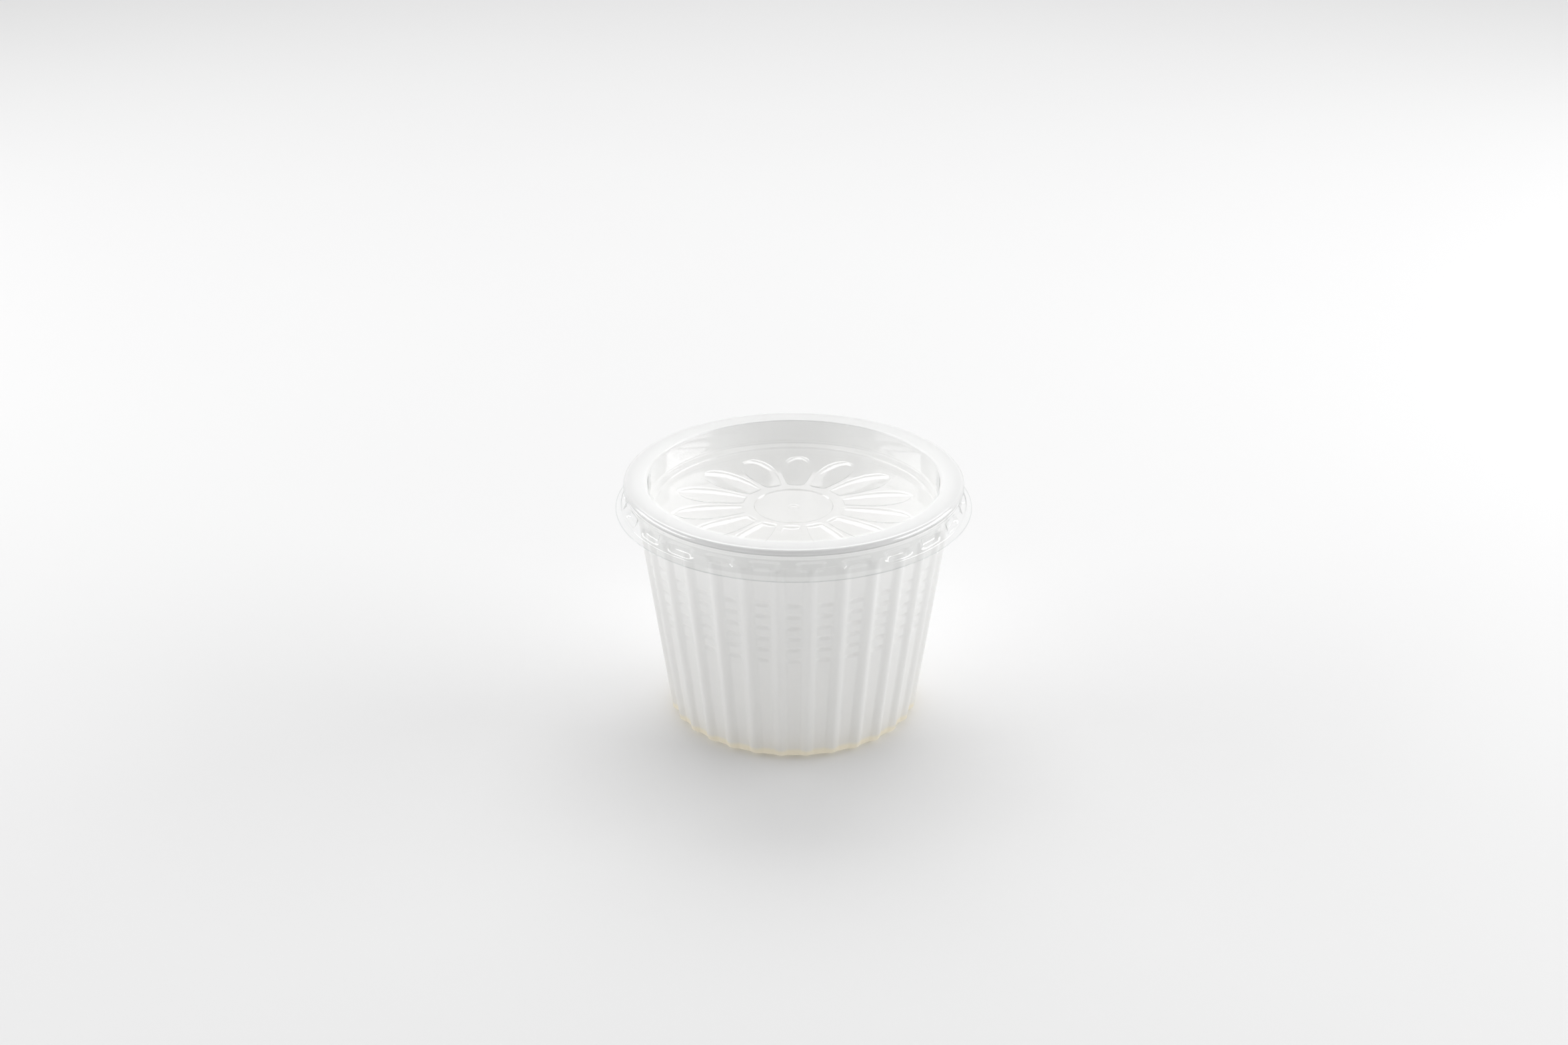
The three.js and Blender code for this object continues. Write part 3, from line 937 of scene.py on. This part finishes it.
    def sunk(self, radius: Array, angle: Array) -> Array:
        """How far the panel is pressed down.

        A petal is a bowl inside its outline. Across it, the depth falls off partly with the square and
        mostly with the eighth power of the distance from its middle line as a share of its half width, so
        it is nearly level inside and steep at the outline. It is shallower where the petal is narrower, and
        ends in a short slope at its root. The disc and its dimple are round hollows, each with a sloping
        edge of its own.

        Args:
            radius: each row's distance from the axis.
            angle: direction of each point.

        Returns:
            The depth at each point.
        """
        half = self.petal_width(radius)
        pitch = 360.0 / self.petal_count
        off = np.abs(np.radians(from_nearest(angle, self.flower_turn, pitch))) * radius
        across = np.clip(off / np.maximum(half, self.petal_least_half), 0.0, 1.0)
        wall = (1.0 - self.petal_crown) * across**self.petal_wall_power
        bowl = 1.0 - self.petal_crown * across**2 - wall
        root = smooth_step((radius - self.petal_inner_radius) / self.petal_root_slope)
        narrow = np.clip(half / self.petal_half_width, 0.0, 1.0)
        petals = self.petal_depth * bowl * root * narrow
        disc = self.disc_depth * smooth_step((self.disc_radius + self.disc_edge - radius) / self.disc_depth)
        dimple = self.dimple_depth * smooth_step((self.dimple_radius - radius) / self.dimple_slope)
        return petals + disc + dimple

    def drawn_in(self, angle: Array, height: Array) -> Array:
        """How far the lugs stand inwards from the skirt: level inside, sloping off on all four sides.

        Args:
            angle: direction of each point.
            height: each row's height.

        Returns:
            The distance from the skirt at each point.
        """
        off = np.abs(from_nearest(angle, self.lug_turn, 360.0 / self.lug_count))
        across = smooth_step((self.lug_half_angle - off) / self.lug_slope_angle)
        from_foot = smooth_step((height - self.lug_foot) / self.lug_slope)
        from_top = smooth_step((self.lug_top - height) / self.lug_slope)
        return self.lug_depth * across * from_foot * from_top

    def build(self) -> bpy.types.Object:
        """Makes the lid's mesh.

        The outer side is the profile turned round the axis, with the hollows taken off its height and the
        lugs off its distance from the axis. The inner side is the outer one moved back along its normals
        by the film's thickness, with every second row. The edge of the lip is a half circle between them.

        Returns:
            The lid's object.
        """
        rows = self.outline()
        radius, height = rows[:, :1], rows[:, 1:]
        angle = self.directions(radius)
        past_top = np.arange(len(rows))[:, None] > int(np.argmax(rows[:, 1]))
        is_skirt = past_top & (height < self.undercut_level)
        drawn = radius - np.where(is_skirt, self.drawn_in(angle, height), 0.0)
        is_panel = radius < self.panel_edge_radius - self.panel_margin
        sunk = height - np.where(is_panel, self.sunk(radius, angle), 0.0)
        outer = turned(drawn, angle, sunk)
        back = grid_normals(outer)
        inner = (outer + back * FILM)[:-1:2]
        out = (outer[-1] - outer[-2]) / np.linalg.norm(outer[-1] - outer[-2], axis=1, keepdims=True)
        turn = np.linspace(0.0, math.pi, self.edge_steps + 1)[:, None, None]
        middle = outer[-1] + back[-1] * FILM / 2
        edge = middle + FILM / 2 * (np.cos(turn) * back[-1] + np.sin(turn) * out)
        points = np.concatenate([inner, edge, outer[-2::-1]])
        bottom = self.panel_level - self.disc_depth - self.dimple_depth
        piece = skin_between_poles("clear_lid", points, bottom - FILM, bottom)
        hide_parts("lid")
        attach(piece, "root")
        return piece

    def dress(self, piece: bpy.types.Object) -> None:
        """Gives the lid its finish."""
        piece.data.materials.append(FilmFinish().material())


class Aim(Enum):
    """What a lamp points at, in metres."""

    CUP = (0.0, 0.0, 0.04)
    FLOOR = (0.0, 0.0, 0.0)


@dataclass(frozen=True)
class Softbox:
    """A large lamp: where it stands and what it points at, its width and depth, and its power in watts."""

    name: str
    place: tuple[float, float, float]
    size: Pair
    power: float
    aim: Aim

    def build(self) -> bpy.types.Object:
        """Makes the lamp and turns it to its aim.

        Returns:
            The lamp's object.
        """
        lamp = bpy.data.lights.new(self.name, "AREA")
        lamp.shape = "RECTANGLE"
        lamp.size, lamp.size_y = self.size
        lamp.energy = self.power
        light = bpy.data.objects.new(self.name, lamp)
        light.location = self.place
        towards = Vector(self.aim.value) - Vector(self.place)
        light.rotation_euler = towards.to_track_quat("-Z", "Y").to_euler()
        bpy.context.scene.collection.objects.link(light)
        return light


@dataclass(frozen=True)
class Glow:
    """A bright side of the sky: it falls off with the square of the cosine from its direction."""

    direction: tuple[float, float, float]
    strength: float


@dataclass
class Studio:
    """The floor, the light and the camera. Lengths are in metres."""

    floor_size: float = 8.0
    floor_level: float = -0.0001
    sky: float = 0.135
    glows: tuple[Glow, ...] = (
        Glow((-1.0, 0.0, 0.25), 0.40),
        Glow((1.0, 0.0, 0.25), 0.50),
        Glow((0.0, 1.0, 0.4), 1.1),
    )
    softboxes: tuple[Softbox, ...] = (
        Softbox("above", (0.0, 0.2, 1.1), (1.0, 1.0), 1.3, Aim.FLOOR),
        Softbox("above_behind", (0.0, 0.9, 1.2), (1.3, 0.9), 6.15, Aim.FLOOR),
        Softbox("left", (-1.1, 0.12, 0.46), (1.1, 0.5), 5.1, Aim.CUP),
        Softbox("right", (1.1, 0.12, 0.46), (1.1, 0.5), 6.8, Aim.CUP),
    )
    camera_place: tuple[float, float, float] = (-0.00343, -0.8144, 0.45396)
    camera_tilt: float = 64.81
    lens: float = 58.03
    sensor: float = 36.0
    all_bounces: int = 16
    diffuse_bounces: int = 10
    see_through_bounces: int = 32

    def floor(self) -> bpy.types.Object:
        """Makes the floor, a flat square below the container.

        Returns:
            The floor's object.
        """
        half = self.floor_size / 2
        square = ((-half, -half), (half, -half), (half, half), (-half, half))
        corners = [(x, y, self.floor_level) for x, y in square]
        mesh = bpy.data.meshes.new("floor")
        mesh.from_pydata(corners, [], [(0, 1, 2, 3)])
        mesh.materials.append(FloorFinish().material())
        floor = bpy.data.objects.new("floor", mesh)
        bpy.context.scene.collection.objects.link(floor)
        return floor

    def world(self) -> None:
        """Makes the sky: an even light, and on top of it each glow times the square of its cosine."""
        world = bpy.data.worlds.new("soft_sky")
        nodes = Nodes(world)
        towards = nodes.add("ShaderNodeTexCoord").outputs["Generated"]
        total = self.sky
        for glow in self.glows:
            cosine = nodes.vector_maths("DOT_PRODUCT", towards, Vector(glow.direction).normalized())
            square = nodes.maths("POWER", nodes.maths("MAXIMUM", cosine, 0.0), 2.0)
            total = nodes.maths("MULTIPLY_ADD", square, glow.strength, total)
        sky = nodes.add("ShaderNodeBackground", {"Color": (1.0, 1.0, 1.0, 1.0), "Strength": total})
        nodes.add("ShaderNodeOutputWorld", {"Surface": sky.outputs[0]})
        bpy.context.scene.world = world

    def lamps(self) -> list[bpy.types.Object]:
        """Makes the softboxes and gives them back as lamps."""
        return [box.build() for box in self.softboxes]

    def camera(self) -> bpy.types.Object:
        """Makes the camera at the photograph's angle.

        Returns:
            The camera's object.
        """
        data = bpy.data.cameras.new("camera")
        data.sensor_fit = "HORIZONTAL"
        data.sensor_width = self.sensor
        data.lens = self.lens
        camera = bpy.data.objects.new("camera", data)
        camera.location = self.camera_place
        camera.rotation_euler = (math.radians(self.camera_tilt), 0.0, 0.0)
        bpy.context.scene.collection.objects.link(camera)
        bpy.context.scene.camera = camera
        return camera

    def exposure(self) -> None:
        """Sets how the picture is developed, and how often light may bounce in the closed cup."""
        scene = bpy.context.scene
        scene.view_settings.view_transform = "Standard"
        scene.view_settings.look = "None"
        scene.cycles.max_bounces = self.all_bounces
        scene.cycles.diffuse_bounces = self.diffuse_bounces
        scene.cycles.transparent_max_bounces = self.see_through_bounces


def main() -> None:
    """Builds the container's two pieces and the studio around them."""
    logging.basicConfig(level=logging.INFO, format="%(name)s: %(message)s")
    for part in (FoamCup(), ClearLid()):
        piece = part.build()
        part.dress(piece)
        log.info("%s: %d points, %d faces", piece.name, len(piece.data.vertices), len(piece.data.polygons))
    studio = Studio()
    log.info("%s: laid", studio.floor().name)
    studio.world()
    log.info("lamps: %s", ", ".join(lamp.name for lamp in studio.lamps()))
    log.info("%s: placed", studio.camera().name)
    studio.exposure()


if __name__ == "__main__":
    main()
